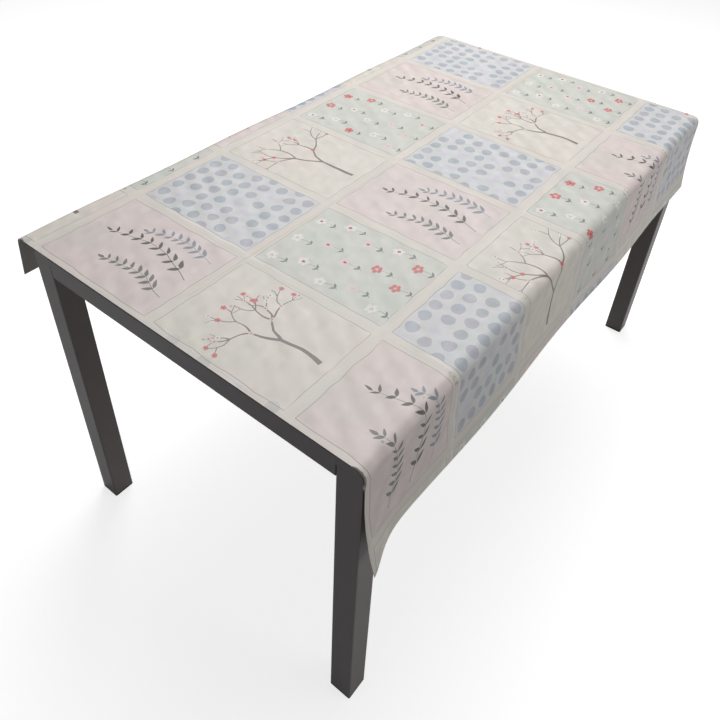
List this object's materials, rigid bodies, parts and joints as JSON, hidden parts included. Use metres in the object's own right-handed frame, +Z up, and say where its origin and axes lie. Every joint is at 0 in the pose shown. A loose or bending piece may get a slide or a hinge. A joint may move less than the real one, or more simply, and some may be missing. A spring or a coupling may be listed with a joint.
{
  "type": "tablecloth on a table",
  "caption": "Printed coated cloth over a square-leg dining table: flush at both short ends, a long near drop and a short stiff far flap.",
  "frame": {"origin": "on the floor, under the middle of the bounding box of table and cloth together", "axes": "+X along the table's length, towards the right end; -Y towards the near long side, with the long drop; +Z up"},
  "size_m": [1.44, 0.881, 0.75],
  "materials": {
    "coated_cloth": "printed PVC-coated cotton, satin",
    "frame_coating": "fine satin powder coat, warm anthracite",
    "zinc_plate": "zinc plated",
    "foot_plastic": "moulded, matt",
    "panel_board": "melamine-faced board"
  },
  "bodies": {
    "table": {"bracket_screw_far_left_a": "zinc_plate", "bracket_screw_far_left_b": "zinc_plate", "bracket_screw_far_right_a": "zinc_plate", "bracket_screw_far_right_b": "zinc_plate", "bracket_screw_near_left_a": "zinc_plate", "bracket_screw_near_left_b": "zinc_plate", "bracket_screw_near_right_a": "zinc_plate", "bracket_screw_near_right_b": "zinc_plate", "cap_far_left": "frame_coating", "cap_far_right": "frame_coating", "cap_near_left": "frame_coating", "cap_near_right": "frame_coating", "clip_1_far": "zinc_plate", "clip_1_near": "zinc_plate", "clip_2_far": "zinc_plate", "clip_2_near": "zinc_plate", "clip_screw_1_far_a": "zinc_plate", "clip_screw_1_far_b": "zinc_plate", "clip_screw_1_near_a": "zinc_plate", "clip_screw_1_near_b": "zinc_plate", "clip_screw_2_far_a": "zinc_plate", "clip_screw_2_far_b": "zinc_plate", "clip_screw_2_near_a": "zinc_plate", "clip_screw_2_near_b": "zinc_plate", "corner_bracket_far_left": "zinc_plate", "corner_bracket_far_right": "zinc_plate", "corner_bracket_near_left": "zinc_plate", "corner_bracket_near_right": "zinc_plate", "cross_rail_1": "frame_coating", "cross_rail_2": "frame_coating", "foot_far_left": "foot_plastic", "foot_far_right": "foot_plastic", "foot_near_left": "foot_plastic", "foot_near_right": "foot_plastic", "leg_bolt_far_left": "zinc_plate", "leg_bolt_far_right": "zinc_plate", "leg_bolt_near_left": "zinc_plate", "leg_bolt_near_right": "zinc_plate", "leg_far_left": "frame_coating", "leg_far_right": "frame_coating", "leg_insert_far_left": "zinc_plate", "leg_insert_far_right": "zinc_plate", "leg_insert_near_left": "zinc_plate", "leg_insert_near_right": "zinc_plate", "leg_near_left": "frame_coating", "leg_near_right": "frame_coating", "long_rail_far": "frame_coating", "long_rail_near": "frame_coating", "short_rail_left": "frame_coating", "short_rail_right": "frame_coating", "tabletop_panel": "panel_board"},
    "cloth": {"tablecloth": "coated_cloth"}
  },
  "joints": [
    {"name": "cloth_lift", "type": "slide", "parent": "table", "child": "cloth", "axis": [0, 0, 1], "range_m": [0, 0.25]}
  ]
}
